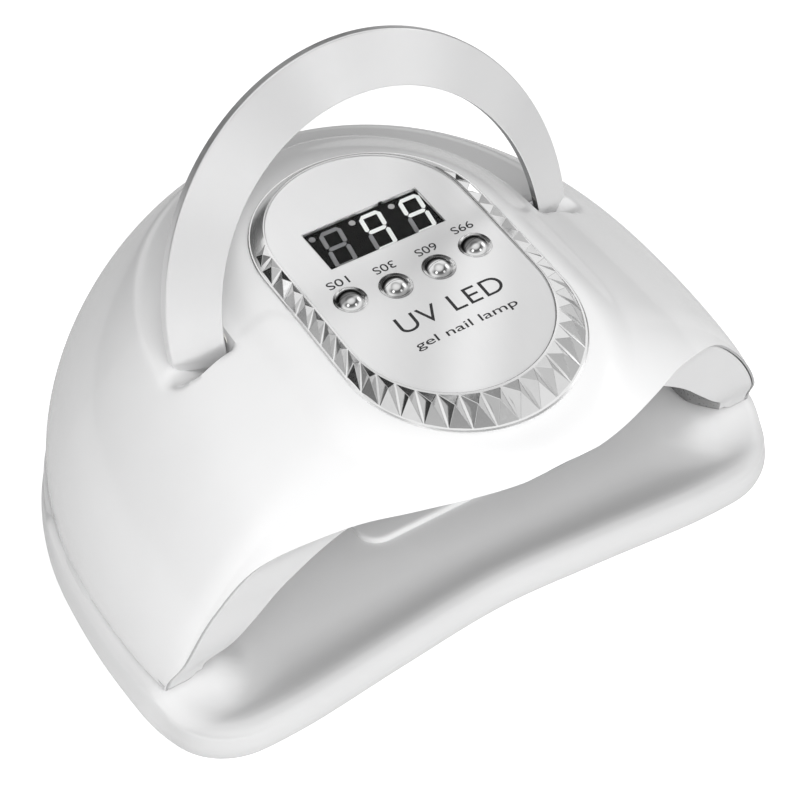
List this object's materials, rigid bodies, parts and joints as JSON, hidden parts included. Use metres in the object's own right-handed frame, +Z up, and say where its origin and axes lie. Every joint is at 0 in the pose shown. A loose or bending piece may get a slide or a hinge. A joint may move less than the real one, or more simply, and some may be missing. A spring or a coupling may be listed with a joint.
{
  "type": "uv led nail lamp",
  "caption": "Domed two-hand curing lamp with a wide front opening, tilted control panel in a faceted ring, folding arched handle and a lift-off tray.",
  "frame": {"origin": "centre of the lamp's footprint at table level, under the rubber feet", "axes": "+Z up, the hand opening faces -Y, X across the lamp"},
  "size_m": [0.2494, 0.208, 0.1741],
  "materials": {
    "tray_white": "satin white moulding",
    "foot_rubber": "soft dark rubber",
    "magnet_steel": "nickel plated magnet",
    "handle_plate": "silver mirror plating",
    "pin_steel": "plain steel",
    "shell_white": "high gloss white",
    "liner_silver": "light grey moulding",
    "bush_white": "natural acetal",
    "strip_aluminium": "white masked aluminium",
    "lens_clear": "clear moulded lens",
    "chip_yellow": "emitter package",
    "sensor_black": "dark infrared lens",
    "plate_silver": "brushed silver",
    "window_dark": "smoked window",
    "display_black": "black",
    "segment_white": "lit white",
    "button_chrome": "mirror",
    "plunger_black": "matte",
    "switch_steel": "pressed steel cover",
    "frame_black": "matte",
    "board_green": "solder mask",
    "chip_black": "epoxy package",
    "ring_chrome": "vacuum plated",
    "coil_copper": "enamelled winding",
    "can_aluminium": "sleeved can",
    "jack_black": "matte",
    "contact_brass": "plated",
    "nut_nickel": "nickel",
    "cable_black": "jacket",
    "cable_red": "jacket"
  },
  "bodies": {
    "tray_base": {"tray": "tray_white", "rubber_feet": "foot_rubber", "tray_magnets": "magnet_steel"},
    "lamp_head": {"outer_shell": "shell_white", "inner_liner": "liner_silver", "liner_discs": "magnet_steel", "shell_screws": "pin_steel", "pivot_bushes": "bush_white", "led_strip_1": "strip_aluminium", "led_strip_2": "strip_aluminium", "led_strip_3": "strip_aluminium", "led_strip_4": "strip_aluminium", "led_lenses": "lens_clear", "led_chips": "chip_yellow", "hand_sensors": "sensor_black", "control_plate": "plate_silver", "window_lens": "window_dark", "display_module": "display_black", "display_segments": "segment_white", "tact_switches": "switch_steel", "panel_frame": "frame_black", "control_board": "board_green", "board_screws": "pin_steel", "control_chips": "chip_black", "trim_ring": "ring_chrome", "power_board": "board_green", "power_coils": "coil_copper", "power_capacitors": "can_aluminium", "power_transistors": "chip_black", "power_jack": "jack_black", "jack_pin": "contact_brass", "jack_nut": "nut_nickel", "jack_cable": "cable_black", "board_cable": "cable_red", "strip_cables": "cable_black"},
    "carry_handle": {"handle": "handle_plate", "pivot_pins": "pin_steel", "pivot_collars": "pin_steel"},
    "key_10s": {"button_10s": "button_chrome", "plunger_10s": "plunger_black"},
    "key_30s": {"button_30s": "button_chrome", "plunger_30s": "plunger_black"},
    "key_60s": {"button_60s": "button_chrome", "plunger_60s": "plunger_black"},
    "key_99s": {"button_99s": "button_chrome", "plunger_99s": "plunger_black"}
  },
  "joints": [
    {"name": "head_lift", "type": "slide", "parent": "tray_base", "child": "lamp_head", "axis": [0, 0, 1], "range_m": [0, 0.12]},
    {"name": "handle_fold", "type": "hinge", "parent": "lamp_head", "child": "carry_handle", "pos_m": [0, -0.0027, 0.0969], "axis": [-1, 0, 0], "range_deg": [0, 72]},
    {"name": "press_10s", "type": "slide", "parent": "lamp_head", "child": "key_10s", "axis": [0, 0.0471, -0.9989], "range_m": [0, 0.0005], "stiffness_N_per_m": 900},
    {"name": "press_30s", "type": "slide", "parent": "lamp_head", "child": "key_30s", "axis": [0, 0.0471, -0.9989], "range_m": [0, 0.0005], "stiffness_N_per_m": 900},
    {"name": "press_60s", "type": "slide", "parent": "lamp_head", "child": "key_60s", "axis": [0, 0.0471, -0.9989], "range_m": [0, 0.0005], "stiffness_N_per_m": 900},
    {"name": "press_99s", "type": "slide", "parent": "lamp_head", "child": "key_99s", "axis": [0, 0.0471, -0.9989], "range_m": [0, 0.0005], "stiffness_N_per_m": 900}
  ]
}
